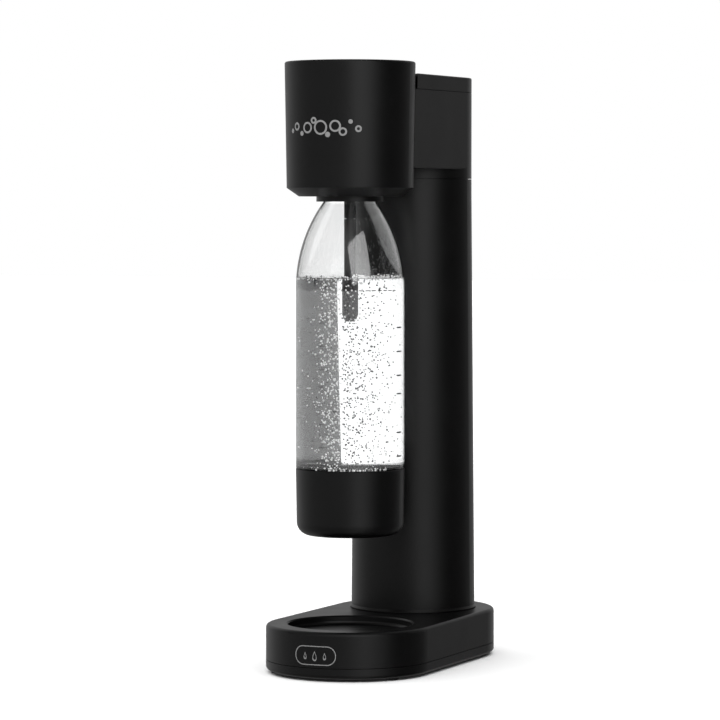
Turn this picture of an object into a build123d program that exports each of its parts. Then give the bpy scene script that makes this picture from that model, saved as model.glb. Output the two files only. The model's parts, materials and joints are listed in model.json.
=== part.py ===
from build123d import *
import math
import os

# Soda carbonator: a round bottle hangs from a head over a stadium-shaped base, and a round column
# behind it holds the gas cylinder. Millimetres, +Z up, front towards -Y, origin on the table under
# the middle of the base. Every piece is built where it sits in the assembled machine.

# ---------------------------------------------------------------- driving dimensions
AXIS_SPACING = 113.0                # from the bottle's axis back to the column's axis
BOTTLE_Y = -AXIS_SPACING / 2        # bottle, head and nozzle axis
COLUMN_Y = AXIS_SPACING / 2         # column, cylinder and valve axis
WALL = 2.5                          # moulded wall of the casings
SEAM = 0.4                          # open line between two casings
FIT = 0.3                           # gap round a part that is dropped in
RUNNING = 0.06                      # radial clearance of a sliding or turning fit

# heights above the table
FOOT_TOP = 2.0
BASE_SEAM = 9.6
DECK = 35.0                         # top of the base
RECESS_FLOOR = 28.5
CUP_BOTTOM = 98.5
CUP_RIM = 146.7
NOZZLE_END = 251.4
SHOULDER_START = 275.0
NOZZLE_JOINT = 324.5
COLLAR_BOTTOM = 336.6
HEAD_BOTTOM = 340.3
HEAD_BEVEL_TOP = 346.4
COLUMN_TOP = 353.6
BLOCK_BOTTOM = 360.5
CARRIER = 366.3                     # underside of the carrier frame
LID_SEAM = 417.0
BLOCK_TOP = 428.0
HEAD_TOP = 436.0

# outside radii
BASE_R = 60.36
RECESS_R = 44.84
COLUMN_FOOT_R = 45.9
COLUMN_TOP_R = 43.25
HEAD_LOW_R = 45.26
HEAD_TOP_R = 46.65
HEAD_BEVEL_R = 36.6
COLLAR_R = 24.1
BOTTLE_R = 38.8
CUP_R = 38.9
CYLINDER_R = 30.0

# feet and base
FEET = {"front": (45.0, -83.0), "rear": (50.0, 66.0)}
FOOT_R = 4.6
FOOT_STEM_R = 3.0
FOOT_STEM_TOP = 4.0
PLATE_FLOOR_TOP = 4.6
BASE_EDGE_FILLET = 2.8
DECK_HOLE_R = 33.0
BASE_SCREWS = [(s * 40.0, y) for s in (-1, 1) for y in (-75.0, 85.0)]
BOSS_SEAT = 7.0                     # where base plate bosses and base shell bosses meet
PLATE_BOSS_R = 5.5
SHELL_BOSS_R = 3.6
SCREW_SINK = 4.9                    # seat of the base screws' heads
TONGUE_GAP = 0.1                    # between a locating tongue and the wall that it stands against
TONGUE_RISE = 2.4
SEAT_BORE_R = 16.0                  # cylinder seat
SEAT_OUT_R = 36.0
SEAT_TOP = 15.0
COLUMN_SCREW_R = 38.6               # radius of the circle that the column's screws stand on
COLUMN_SCREW_ANGLES = (45, 135, 225, 315)
COLUMN_BOSS_R = 5.2
TOP_RING_BORE_R = 31.0              # ring inside the column's top that the block screws pass through
SPIGOT_BORE_R = 39.2
SPIGOT_RISE = 3.6

# rear cover
COVER_HALF_ANGLE = 58.0
COVER_BOTTOM = 45.0
COVER_TOP = 345.0
COVER_WALL = 2.3
STRIP_HALF_ANGLE = 52.5
STRIP_DEPTH = 2.0
SCOOP_R = 11.5
SCOOP_DEPTH = 2.7
SCOOP_BACK_R = 14.0
SCOOP_DROP = 24.0                   # from the cover's top edge to the middle of the scoop

# head and block
BUTTON_R = 43.0
BUTTON_TOP = 433.5
BUTTON_UNDER = 428.0
BUTTON_SKIRT = 420.0
BUTTON_WALL = 1.9
BUTTON_DISH_R = 260.0
BUTTON_DISH_DEPTH = 1.6
ROD_R = 6.0
ROD_TENON_R = 4.0
ROD_TENON_RISE = 2.6
ROD_REST_GAP = 0.4                  # between the rod's end and the lever at rest
CLIP_LOW = 402.4
CLIP_TOP = 403.6
CLIP_R = 8.6
CLIP_MOUTH = 3.6
GUIDE_COLLAR_R = 8.4
GUIDE_HOLE_R = 7.5
GUIDE_HOLE_PLACE_R = 26.0
SPRING_WIRE_R = 0.8
SPRING_R = 10.6
SPRING_TURNS = 5.5
GUIDE_SEAT = 404.0
GUIDE_TOP = 407.0
GUIDE_COLLAR_TOP = 417.0
GUIDE_SCREW_R = 39.6
GUIDE_SCREW_ANGLES = (-90, 30, 150)
HEAD_BOSS_R = 38.0
HEAD_BOSS_ANGLES = (45, 135, 225, 315)
HEAD_POST_R = 3.4
BLOCK_BOSS_R = 34.8                 # radius of the circle that the block's bosses stand on
BLOCK_POST_R = 4.1
BLOCK_FLOOR_BORE_R = 29.5
WINDOW_HALF = 29.0                  # half width of the head's rear window
WINDOW_BOTTOM = 364.0
WINDOW_TOP = 414.0

# carrier frame, lever and valve train
CARRIER_TOP = CARRIER + 4.0
CARRIER_HEAD_R = 41.3
CARRIER_COLUMN_R = 39.2
CARRIER_HALF_WIDTH = 26.0
EAR_R = 6.0
RAIL_X = 24.6                       # stiffening ribs beside the gas hose
RAIL_HALF_WIDTH = 1.4
RAIL_LENGTH = 44.0
RAIL_RISE = 3.0
PIVOT_Y = 86.0
PIVOT_Z = 396.2
PIN_R = 3.0
LEVER_HALF_WIDTH = 7.0
LEVER_BOTTOM = 392.2
LEVER_TOP = 400.2
LEVER_PAD_R = 9.0
LEVER_EYE_R = 5.5
PIN_END = 15.0
PIN_HEAD_R = 4.6
PIN_HEAD = 1.8
PIN_GROOVE = (12.6, 13.6)
PIN_GROOVE_R = 2.3
PIN_CLIP_R = 5.0
PIN_CLIP_MOUTH = 1.6
EAR_INNER = 8.0
EAR_OUTER = 12.0
FLANGE_R = 23.0
FLANGE_SCREW_R = 19.6
HOSE_Z = 378.5
HOSE_TURN = 20.0                    # degrees that each hose barb looks away from straight ahead
HOSE_OUT_R = 3.0
HOSE_IN_R = 2.05
BARB_R = 2.0
BARB_BORE = 1.1
HOSE_SIDE_X = 20.0                  # how far the hose swings out to the right
CLAMP_R = 3.8
CLAMP_WIDTH = 4.0
HOLDER_R = 17.0                     # valve holder below its flange
HOLDER_NECK_R = 12.0
HOLDER_TOP = 387.0
HOLDER_FLANGE = 3.6
SOCKET_BORE_R = 10.7                # socket for the cylinder's valve
CHAMBER_R = 5.0
CHAMBER_TOP = 380.0
PIN_SEAL_R = 3.2
PIN_SEAL_LOW = 383.0
PIN_SEAL_TOP = 385.0
GASKET_BORE_R = 4.2
GASKET_THICKNESS = 2.0
PRESS_PIN_R = 2.0
PRESS_PIN_GAP = 0.4                 # between the press pin and each piece that it pushes, at rest
VALVE_FACE = 363.0                  # top face of the cylinder's valve
VALVE_PIN_R = 1.5
VALVE_PIN_RISE = 0.7                # how far the valve pin stands out of the valve's face
VALVE_MOUTH_R = 2.4                 # shallow recess in the face that the press pin dips into
VALVE_MOUTH_DEPTH = 1.1
VALVE_STEM_R = 9.0
VALVE_COLLAR_R = 13.0
VALVE_COLLAR = 11.5
VALVE_THREAD_CORE_R = 9.6
VALVE_THREAD_R = 10.3
VALVE_THREAD_PITCH = 2.6

# gas cylinder
CYLINDER_BOTTOM = 7.4
CYLINDER_SHOULDER = 300.0
CYLINDER_NECK = 338.0
CYLINDER_NECK_R = 14.0
CYLINDER_WALL = 3.0
CYLINDER_DOME = 45.0

# bottle
PET = 1.2
SHOULDER_ARC = 105.5
NECK_R = 18.4
NECK_START = 337.0
BOTTLE_RIM = 360.0
BOTTLE_FLOOR = 104.0
CUP_WALL = 1.9
CUP_DRAFT = 0.75
CUP_CORNER = 9.5
BOTTLE_CORNER = 12.0
NECK_RIB_R = 19.8
NECK_BORE_R = 15.8
COLLAR_BORE_R = 20.7
COLLAR_FLANGE_R = 33.0
HOLDER_SCREW_R = 28.5

# nozzle
NOZZLE_R = 4.32
NOZZLE_BORE = 1.5
SOCKET_R = 2.8
SOCKET_DEPTH = 8.0
NOZZLE_CONE = 4.7
NOZZLE_END_R = 2.7
NOZZLE_BLOCK_BOTTOM = 357.5
NOZZLE_BLOCK_TOP = 382.6
NOZZLE_BLOCK_NECK_R = 8.7
NOZZLE_BLOCK_R = 16.9
NOZZLE_BLOCK_TOP_R = 13.0
NOZZLE_BLOCK_FLANGE = 3.0

# relief valve, along X on the nozzle block's left
RELIEF_R = 5.0
RELIEF_TAIL_R = 3.0
RELIEF_BORE_R = 3.6
RELIEF_X = (-29.0, -13.0)
RELIEF_TAIL_X = -8.0
RELIEF_SEAT_X = -16.0
RELIEF_POPPET = 3.0
RELIEF_CAP = 2.0
RELIEF_VENT_R = 1.2

# screws
SHANK_R = 1.25
SHANK_CLEAR_R = 1.6
SHANK_EASY_R = 1.7
COLUMN_CLEAR_R = 1.8
SMALL_SHANK_R = 1.1
FLANGE_SHANK_R = 1.5
SCREW_HEAD = 1.8

# ---------------------------------------------------------------- helpers


def cylinder(r, z0, z1, x=0.0, y=0.0):
    """Upright round bar from z0 to z1."""
    return Pos(x, y, (z0 + z1) / 2) * Cylinder(r, z1 - z0)


def cone(r0, r1, z0, z1, x=0.0, y=0.0):
    """Upright cone: radius r0 at z0 and r1 at z1."""
    return Pos(x, y, (z0 + z1) / 2) * Cone(r0, r1, z1 - z0)


def block(x0, x1, y0, y1, z0, z1):
    """Box between two corners."""
    return Pos((x0 + x1) / 2, (y0 + y1) / 2, (z0 + z1) / 2) * Box(x1 - x0, y1 - y0, z1 - z0)


def stadium(r, z0, z1):
    """Rounded slab round both axes, the outline of the base."""
    slab = block(-r, r, BOTTLE_Y, COLUMN_Y, z0, z1)
    return slab + cylinder(r, z0, z1, 0, BOTTLE_Y) + cylinder(r, z0, z1, 0, COLUMN_Y)


def turned(points, y):
    """Solid of revolution of (radius, height) points about the upright axis at y."""
    outline = Polyline(*[(r, 0, z) for r, z in points], close=True)
    return Pos(0, y, 0) * revolve(make_face(outline), Axis.Z)


def along_x(r, x0, x1, y, z):
    """Round bar along X."""
    return Pos((x0 + x1) / 2, y, z) * Rot(0, 90, 0) * Cylinder(r, x1 - x0)


def along_y(r, y0, y1, x, z):
    """Round bar along Y."""
    return Pos(x, (y0 + y1) / 2, z) * Rot(90, 0, 0) * Cylinder(r, y1 - y0)


def on_circle(r, degrees, y):
    """Point on a circle about the upright axis at y; 0 degrees is +X, 90 degrees is the rear."""
    turn = math.radians(degrees)
    return r * math.cos(turn), y + r * math.sin(turn)


def edges_at(solid, z):
    """Edges that lie flat at height z."""
    return solid.edges().filter_by_position(Axis.Z, z - 0.01, z + 0.01)


def column_r(z):
    """Outside radius of the tapered column at height z."""
    share = (z - DECK) / (COLUMN_TOP - DECK)
    return COLUMN_FOOT_R + share * (COLUMN_TOP_R - COLUMN_FOOT_R)


def head_r(z):
    """Outside radius of the head above its bevel."""
    share = (z - HEAD_BEVEL_TOP) / (HEAD_TOP - HEAD_BEVEL_TOP)
    return HEAD_LOW_R + share * (HEAD_TOP_R - HEAD_LOW_R)


def screw(x, y, head_z, tip_z, shank_r, head_r, head_height):
    """Pan-head screw; its head stands away from head_z on the side opposite the tip."""
    up = 1 if head_z > tip_z else -1
    shank = cylinder(shank_r, min(head_z, tip_z), max(head_z, tip_z), x, y)
    far = head_z + up * head_height
    head = cylinder(head_r, min(head_z, far), max(head_z, far), x, y)
    slot_depth = head_height * 0.45
    slot_z = sorted((far, far - up * slot_depth))
    cross = block(x - head_r * 0.55, x + head_r * 0.55, y - 0.35, y + 0.35, *slot_z)
    cross += block(x - 0.35, x + 0.35, y - head_r * 0.55, y + head_r * 0.55, *slot_z)
    return shank + head - cross


def sector(half_angle, reach, z0, z1):
    """Upright wedge behind the column's axis, half_angle to each side of straight back."""
    turn = math.radians(half_angle)
    side = (reach * math.sin(turn), reach * math.cos(turn))
    outline = Polyline((0, 0), side, (side[0], reach), (-side[0], reach), (-side[0], side[1]), close=True)
    return Pos(0, COLUMN_Y, z0) * extrude(make_face(outline), z1 - z0)


# ---------------------------------------------------------------- base


def foot(x, y):
    stem = cylinder(FOOT_STEM_R, FOOT_TOP, FOOT_STEM_TOP, x, y)
    pad = cylinder(FOOT_R, 0, FOOT_TOP, x, y)
    return chamfer(edges_at(pad, 0), 0.5) + stem


def base_plate():
    plate = stadium(BASE_R, FOOT_TOP, BASE_SEAM - SEAM / 2)
    plate = fillet(edges_at(plate, FOOT_TOP), BASE_EDGE_FILLET)
    plate -= stadium(BASE_R - WALL, PLATE_FLOOR_TOP, BASE_SEAM)
    # tongue that locates the base shell on the inside of its wall
    tongue = stadium(BASE_R - WALL - TONGUE_GAP, PLATE_FLOOR_TOP, BASE_SEAM + TONGUE_RISE)
    plate += tongue - stadium(BASE_R - WALL - 1.4, PLATE_FLOOR_TOP, BASE_SEAM + TONGUE_RISE + 1)
    plate += stadium(BASE_R - WALL, FOOT_TOP + 1, PLATE_FLOOR_TOP)
    for x, y in BASE_SCREWS:
        plate += cylinder(PLATE_BOSS_R, PLATE_FLOOR_TOP, BOSS_SEAT, x, y)
        plate -= cylinder(3.8, FOOT_TOP, SCREW_SINK, x, y)
        plate -= cylinder(SHANK_EASY_R, FOOT_TOP, BOSS_SEAT, x, y)
    for x, y in foot_places().values():
        plate -= cylinder(FOOT_STEM_R, FOOT_TOP, FOOT_STEM_TOP, x, y)
    return plate


def foot_places():
    """Node name to centre for the four feet."""
    places = {}
    for end, (x, y) in FEET.items():
        places[f"foot_{end}_left"] = (-x, y)
        places[f"foot_{end}_right"] = (x, y)
    return places


def base_screws():
    screws = [screw(x, y, SCREW_SINK, 18.0, SHANK_R, 3.3, SCREW_HEAD) for x, y in BASE_SCREWS]
    return Compound(children=screws)


def base_shell():
    shell = stadium(BASE_R, BASE_SEAM + SEAM / 2, DECK)
    shell = fillet(edges_at(shell, DECK), BASE_EDGE_FILLET)
    shell -= stadium(BASE_R - WALL, BASE_SEAM - 1, DECK - WALL)
    dish = cylinder(RECESS_R + WALL, RECESS_FLOOR - WALL, DECK - WALL / 2, 0, BOTTLE_Y)
    shell += fillet(edges_at(dish, RECESS_FLOOR - WALL), 2.0)
    hollow = cylinder(RECESS_R, RECESS_FLOOR, DECK + 1, 0, BOTTLE_Y)
    shell -= fillet(edges_at(hollow, RECESS_FLOOR), 2.5)
    bevel = [(RECESS_R - 1, DECK + 1), (RECESS_R + 2.0, DECK + 1), (RECESS_R - 1, DECK - 2.0)]
    shell -= turned(bevel, BOTTLE_Y)
    for x, y in BASE_SCREWS:
        top = RECESS_FLOOR - 1 if y < 0 else DECK - 1
        shell += cylinder(SHELL_BOSS_R, BOSS_SEAT, top, x, y) - cylinder(SHANK_R, BOSS_SEAT, 19.0, x, y)
    shell -= cylinder(DECK_HOLE_R, DECK - WALL - 1, DECK + 1, 0, COLUMN_Y)
    for degrees in COLUMN_SCREW_ANGLES:
        x, y = on_circle(COLUMN_SCREW_R, degrees, COLUMN_Y)
        shell -= cylinder(COLUMN_CLEAR_R, DECK - WALL - 1, DECK + 1, x, y)
    return shell


def cylinder_seat():
    """Rubber ring on the base plate that the gas cylinder stands over."""
    return turned([
        (SEAT_BORE_R, PLATE_FLOOR_TOP), (SEAT_OUT_R, PLATE_FLOOR_TOP), (SEAT_OUT_R, SEAT_TOP),
        (31.2, SEAT_TOP), (30.4, 12), (28.6, 8.4), (26, CYLINDER_BOTTOM - FIT),
        (SEAT_BORE_R, CYLINDER_BOTTOM - FIT)], COLUMN_Y)


# ---------------------------------------------------------------- column


def column_cone(inset):
    """Solid that follows the column's taper over the cover's height, inset from its outside."""
    low_r = column_r(COVER_BOTTOM) - inset
    return cone(low_r, column_r(COVER_TOP) - inset, COVER_BOTTOM, COVER_TOP, 0, COLUMN_Y)


def column_shell():
    """Tapered tube with a flared foot, a rear opening and a ring of lugs at each end."""
    outer = turned([
        (0, DECK), (COLUMN_FOOT_R - 0.8, DECK), (COLUMN_FOOT_R - 0.8, DECK + SEAM),
        (COLUMN_FOOT_R + 0.9, DECK + SEAM), (COLUMN_FOOT_R + 0.9, DECK + 0.9),
        (column_r(DECK + 2.6), DECK + 2.6), (COLUMN_TOP_R, COLUMN_TOP - SEAM), (0, COLUMN_TOP - SEAM)], COLUMN_Y)
    shell = outer - cone(COLUMN_FOOT_R - WALL, COLUMN_TOP_R - WALL, DECK, COLUMN_TOP, 0, COLUMN_Y)
    # opening with a landing strip behind each long edge of the cover
    strips = column_cone(1.2) - column_cone(COVER_WALL + STRIP_DEPTH)
    shell += strips & sector(COVER_HALF_ANGLE + 3, 60, COVER_BOTTOM, COVER_TOP)
    shell -= sector(STRIP_HALF_ANGLE, 60, COVER_BOTTOM, COVER_TOP)
    shell -= sector(COVER_HALF_ANGLE, 60, COVER_BOTTOM, COVER_TOP) - column_cone(COVER_WALL + FIT)
    for degrees in COLUMN_SCREW_ANGLES:
        x, y = on_circle(COLUMN_SCREW_R, degrees, COLUMN_Y)
        shell += cylinder(COLUMN_BOSS_R, DECK, COVER_BOTTOM - 1, x, y)
        shell -= cylinder(SHANK_R, DECK, COVER_BOTTOM - 2, x, y)
    ring = cylinder(COLUMN_TOP_R - WALL + 0.3, COVER_TOP + 2, COLUMN_TOP - SEAM, 0, COLUMN_Y)
    ring -= cylinder(TOP_RING_BORE_R, COVER_TOP + 1, COLUMN_TOP, 0, COLUMN_Y)
    for degrees in COLUMN_SCREW_ANGLES:
        x, y = on_circle(BLOCK_BOSS_R, degrees, COLUMN_Y)
        ring -= cylinder(SHANK_EASY_R, COVER_TOP, COLUMN_TOP, x, y)
        ring -= cylinder(3.0, COVER_TOP, COVER_TOP + 4, x, y)
    shell += ring
    spigot = cylinder(COLUMN_TOP_R - WALL - 0.15, COLUMN_TOP - 1, COLUMN_TOP + SPIGOT_RISE, 0, COLUMN_Y)
    shell += spigot - cylinder(SPIGOT_BORE_R, COLUMN_TOP - 2, COLUMN_TOP + SPIGOT_RISE + 1, 0, COLUMN_Y)
    return shell


def column_screws():
    """Screws up through the deck into the column's foot."""
    places = [on_circle(COLUMN_SCREW_R, degrees, COLUMN_Y) for degrees in COLUMN_SCREW_ANGLES]
    screws = [screw(x, y, DECK - WALL, DECK + 7, SHANK_R, 3.0, SCREW_HEAD) for x, y in places]
    return Compound(children=screws)


def block_screws():
    """Screws up through the column's top ring into the block's bosses."""
    places = [on_circle(BLOCK_BOSS_R, degrees, COLUMN_Y) for degrees in COLUMN_SCREW_ANGLES]
    screws = [screw(x, y, COVER_TOP + 4, COLUMN_TOP + 5, SHANK_R, 2.8, SCREW_HEAD) for x, y in places]
    return Compound(children=screws)


def rear_cover():
    """Curved door panel over the cylinder bay, with a finger scoop near its top."""
    z0 = COVER_BOTTOM + SEAM
    z1 = COVER_TOP - SEAM
    panel = cone(column_r(z0), column_r(z1), z0, z1, 0, COLUMN_Y)
    depth = COVER_WALL - 0.2
    panel -= cone(column_r(z0) - depth, column_r(z1) - depth, z0, z1, 0, COLUMN_Y)
    panel &= sector(COVER_HALF_ANGLE - 0.5, 60, z0, z1)
    # finger scoop: a shallow round pocket, backed by a thicker patch on the inside
    scoop_z = COVER_TOP - SCOOP_DROP
    rear = COLUMN_Y + column_r(scoop_z)
    panel += along_y(SCOOP_BACK_R, rear - 4.8, rear - 1.9, 0, scoop_z)
    return panel - along_y(SCOOP_R, rear - SCOOP_DEPTH, rear + 2, 0, scoop_z)


# ---------------------------------------------------------------- block behind the head


def block_outline(r, z0, z1):
    """Flat-sided body that runs from the column's round back forwards to the head."""
    return block(-r, r, BOTTLE_Y, COLUMN_Y, z0, z1) + cylinder(r, z0, z1, 0, COLUMN_Y)


def head_cut(gap):
    """The head's outside, grown by gap, to cut the block and lid against."""
    low = cylinder(head_r(HEAD_BEVEL_TOP) + gap, HEAD_BOTTOM, HEAD_BEVEL_TOP, 0, BOTTLE_Y)
    return low + cone(HEAD_LOW_R + gap, HEAD_TOP_R + gap, HEAD_BEVEL_TOP, HEAD_TOP, 0, BOTTLE_Y)


def block_shell():
    top = LID_SEAM - SEAM / 2
    shell = block_outline(COLUMN_TOP_R, BLOCK_BOTTOM, top)
    flat_edges = edges_at(shell, BLOCK_BOTTOM).filter_by(Axis.Y)
    shell = chamfer(flat_edges, 1.0)
    shell -= block_outline(COLUMN_TOP_R - WALL, BLOCK_BOTTOM + WALL, BLOCK_TOP)
    shell += cylinder(COLUMN_TOP_R, COLUMN_TOP, BLOCK_BOTTOM + 1, 0, COLUMN_Y)
    shell -= cylinder(COLUMN_TOP_R - WALL, COLUMN_TOP - 1, BLOCK_BOTTOM, 0, COLUMN_Y)
    shell -= cylinder(BLOCK_FLOOR_BORE_R, COLUMN_TOP, CARRIER, 0, COLUMN_Y)
    for degrees in COLUMN_SCREW_ANGLES:
        x, y = on_circle(BLOCK_BOSS_R, degrees, COLUMN_Y)
        shell += cylinder(BLOCK_POST_R, COLUMN_TOP - SEAM, CARRIER, x, y)
        shell -= cylinder(SHANK_R, COLUMN_TOP - SEAM, COLUMN_TOP + 5.4, x, y)
        shell -= cylinder(SHANK_R, CARRIER - 6.5, CARRIER, x, y)
    return shell - head_cut(0.15)


def top_lid():
    """Lid of the block; its front edge stops short of the head."""
    low = LID_SEAM + SEAM / 2
    lid = block_outline(COLUMN_TOP_R, low, BLOCK_TOP)
    lid = fillet(edges_at(lid, BLOCK_TOP), 1.0)
    lid -= block_outline(COLUMN_TOP_R - WALL, low - 1, BLOCK_TOP - WALL)
    rim = block_outline(COLUMN_TOP_R - WALL - TONGUE_GAP, low - 4, BLOCK_TOP - 2)
    lid += rim - block_outline(COLUMN_TOP_R - WALL - 1.7, low - 5, BLOCK_TOP - 1)
    return lid - head_cut(1.6)


# ---------------------------------------------------------------- head


def head_shell():
    """Bucket-shaped casing, open at the top for the button and at the back towards the block."""
    edge = 1.5
    inside = head_r(HEAD_BEVEL_TOP) - WALL
    shell = turned([
        (0, HEAD_BOTTOM), (HEAD_BEVEL_R, HEAD_BOTTOM), (HEAD_LOW_R, HEAD_BEVEL_TOP),
        (HEAD_TOP_R, HEAD_TOP), (0, HEAD_TOP)], BOTTLE_Y)
    shell = fillet(edges_at(shell, HEAD_TOP), edge)
    shell -= turned([
        (0, HEAD_BOTTOM + WALL), (HEAD_BEVEL_R - 1.2, HEAD_BOTTOM + WALL), (inside, HEAD_BEVEL_TOP + 1.3),
        (HEAD_TOP_R - WALL, HEAD_TOP + 1), (0, HEAD_TOP + 1)], BOTTLE_Y)
    ledge = turned([
        (GUIDE_SCREW_R - 3, GUIDE_SEAT), (head_r(GUIDE_SEAT) - 1, GUIDE_SEAT),
        (head_r(GUIDE_SEAT) - 1, GUIDE_SEAT - 9), (head_r(GUIDE_SEAT) - 3, GUIDE_SEAT - 9),
        (GUIDE_SCREW_R - 3, GUIDE_SEAT - 4)], BOTTLE_Y)
    shell += ledge
    for degrees in HEAD_BOSS_ANGLES:
        x, y = on_circle(HEAD_BOSS_R, degrees, BOTTLE_Y)
        shell += cylinder(HEAD_POST_R, HEAD_BOTTOM + 4, CARRIER, x, y)
        shell -= cylinder(SHANK_R, CARRIER - 10, CARRIER, x, y)
    for degrees in GUIDE_SCREW_ANGLES:
        x, y = on_circle(GUIDE_SCREW_R, degrees, BOTTLE_Y)
        shell -= cylinder(SMALL_SHANK_R, GUIDE_SEAT - 3.6, GUIDE_SEAT, x, y)
    shell -= cylinder(COLLAR_R + FIT, HEAD_BOTTOM - 1, HEAD_BOTTOM + WALL + 1, 0, BOTTLE_Y)
    shell -= block(-WINDOW_HALF, WINDOW_HALF, BOTTLE_Y + 20, BOTTLE_Y + 60, WINDOW_BOTTOM, WINDOW_TOP)
    return shell


def push_button():
    """Round cap in the head's mouth, slightly dished, with a skirt that runs inside the head."""
    cap = cylinder(BUTTON_R, BUTTON_SKIRT, BUTTON_TOP, 0, BOTTLE_Y)
    cap = fillet(edges_at(cap, BUTTON_TOP), 1.4)
    cap -= Pos(0, BOTTLE_Y, BUTTON_TOP + BUTTON_DISH_R - BUTTON_DISH_DEPTH) * Sphere(BUTTON_DISH_R)
    cap -= cylinder(BUTTON_R - BUTTON_WALL, BUTTON_SKIRT - 1, BUTTON_UNDER, 0, BOTTLE_Y)
    return cap - cylinder(ROD_TENON_R, BUTTON_UNDER - 1, BUTTON_UNDER + ROD_TENON_RISE, 0, BOTTLE_Y)


def button_rod():
    low = LEVER_TOP + ROD_REST_GAP
    rod = fillet(edges_at(cylinder(ROD_R, low, BUTTON_UNDER, 0, BOTTLE_Y), low), 1.5)
    groove = cylinder(ROD_R + 1, CLIP_LOW, CLIP_TOP, 0, BOTTLE_Y)
    rod -= groove - cylinder(ROD_R - 1, CLIP_LOW, CLIP_TOP, 0, BOTTLE_Y)
    return rod + cylinder(ROD_TENON_R, BUTTON_UNDER, BUTTON_UNDER + ROD_TENON_RISE, 0, BOTTLE_Y)


def rod_clip():
    """Snap ring under the guide that keeps the button from lifting out."""
    ring = cylinder(CLIP_R, CLIP_LOW, CLIP_TOP, 0, BOTTLE_Y)
    ring -= cylinder(ROD_R - 1, CLIP_LOW - 1, CLIP_TOP + 1, 0, BOTTLE_Y)
    return ring - block(-CLIP_MOUTH, CLIP_MOUTH, BOTTLE_Y, BOTTLE_Y + 12, CLIP_LOW - 1, CLIP_TOP + 1)


def button_guide():
    """Plate across the head with the collar that the button rod slides in."""
    plate = cylinder(head_r(GUIDE_SEAT) - WALL - FIT, GUIDE_SEAT, GUIDE_TOP, 0, BOTTLE_Y)
    for degrees in (0, 90, 180, 270):
        x, y = on_circle(GUIDE_HOLE_PLACE_R, degrees + 45, BOTTLE_Y)
        plate -= cylinder(GUIDE_HOLE_R, GUIDE_SEAT - 1, GUIDE_TOP + 1, x, y)
    plate += cylinder(GUIDE_COLLAR_R, GUIDE_SEAT, GUIDE_COLLAR_TOP, 0, BOTTLE_Y)
    plate -= cylinder(ROD_R + RUNNING, GUIDE_SEAT - 1, GUIDE_COLLAR_TOP + 1, 0, BOTTLE_Y)
    for degrees in GUIDE_SCREW_ANGLES:
        x, y = on_circle(GUIDE_SCREW_R, degrees, BOTTLE_Y)
        plate -= cylinder(1.3, GUIDE_SEAT - 1, GUIDE_TOP + 1, x, y)
    return plate


def guide_screws():
    places = [on_circle(GUIDE_SCREW_R, degrees, BOTTLE_Y) for degrees in GUIDE_SCREW_ANGLES]
    screws = [screw(x, y, GUIDE_TOP, GUIDE_SEAT - 3.4, SMALL_SHANK_R, 2.4, 1.6) for x, y in places]
    return Compound(children=screws)


def coil(wire_r, mean_r, low, high, turns):
    """Open compression spring standing on the XY plane, from low to high."""
    rise = high - low - 2 * wire_r
    path = Helix(pitch=rise / turns, height=rise, radius=mean_r)
    section = Plane(origin=path @ 0, z_dir=path % 0) * Circle(wire_r)
    return Pos(0, 0, low + wire_r) * sweep(section, path=path)


def return_spring():
    spring = coil(SPRING_WIRE_R, SPRING_R, GUIDE_TOP + 0.1, BUTTON_UNDER - 0.1, SPRING_TURNS)
    return Pos(0, BOTTLE_Y, 0) * spring


# ---------------------------------------------------------------- carrier frame and lever


def carrier_frame():
    """Stiff plate that ties nozzle, head, valve and lever pivot together."""
    half = CARRIER_HALF_WIDTH
    plate = cylinder(CARRIER_HEAD_R, CARRIER, CARRIER_TOP, 0, BOTTLE_Y)
    plate += block(-half, half, BOTTLE_Y, COLUMN_Y, CARRIER, CARRIER_TOP)
    plate += cylinder(CARRIER_COLUMN_R, CARRIER, CARRIER_TOP, 0, COLUMN_Y)
    plate -= cylinder(NOZZLE_BLOCK_R + 0.2, CARRIER - 1, CARRIER_TOP + 1, 0, BOTTLE_Y)
    plate -= cylinder(HOLDER_R + 0.2, CARRIER - 1, CARRIER_TOP + 1, 0, COLUMN_Y)
    for side in (-1, 1):
        x0, x1 = sorted((side * EAR_INNER, side * EAR_OUTER))
        plate += block(x0, x1, PIVOT_Y - EAR_R, PIVOT_Y + EAR_R, CARRIER, PIVOT_Z)
        plate += along_x(EAR_R, x0, x1, PIVOT_Y, PIVOT_Z)
        low, high = side * RAIL_X - RAIL_HALF_WIDTH, side * RAIL_X + RAIL_HALF_WIDTH
        plate += block(low, high, -RAIL_LENGTH / 2, RAIL_LENGTH / 2, CARRIER_TOP, CARRIER_TOP + RAIL_RISE)
    plate -= along_x(PIN_R, -20, 20, PIVOT_Y, PIVOT_Z)
    for degrees in HEAD_BOSS_ANGLES:
        x, y = on_circle(HEAD_BOSS_R, degrees, BOTTLE_Y)
        plate -= cylinder(SHANK_CLEAR_R, CARRIER - 1, CARRIER_TOP + 1, x, y)
    for degrees in COLUMN_SCREW_ANGLES:
        x, y = on_circle(BLOCK_BOSS_R, degrees, COLUMN_Y)
        plate -= cylinder(SHANK_CLEAR_R, CARRIER - 1, CARRIER_TOP + 1, x, y)
    for y_axis in (BOTTLE_Y, COLUMN_Y):
        for x, y in flange_screw_places(y_axis):
            plate -= cylinder(FLANGE_SHANK_R, CARRIER - 1, CARRIER_TOP + 1, x, y)
    for x, y in holder_screw_places():
        plate -= cylinder(SHANK_CLEAR_R, CARRIER - 1, CARRIER_TOP + 1, x, y)
    return plate


def flange_screw_places(y_axis):
    return [on_circle(FLANGE_SCREW_R, degrees, y_axis) for degrees in (0, 120, 240)]


def holder_screw_places():
    return [on_circle(HOLDER_SCREW_R, degrees, BOTTLE_Y) for degrees in HEAD_BOSS_ANGLES]


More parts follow.
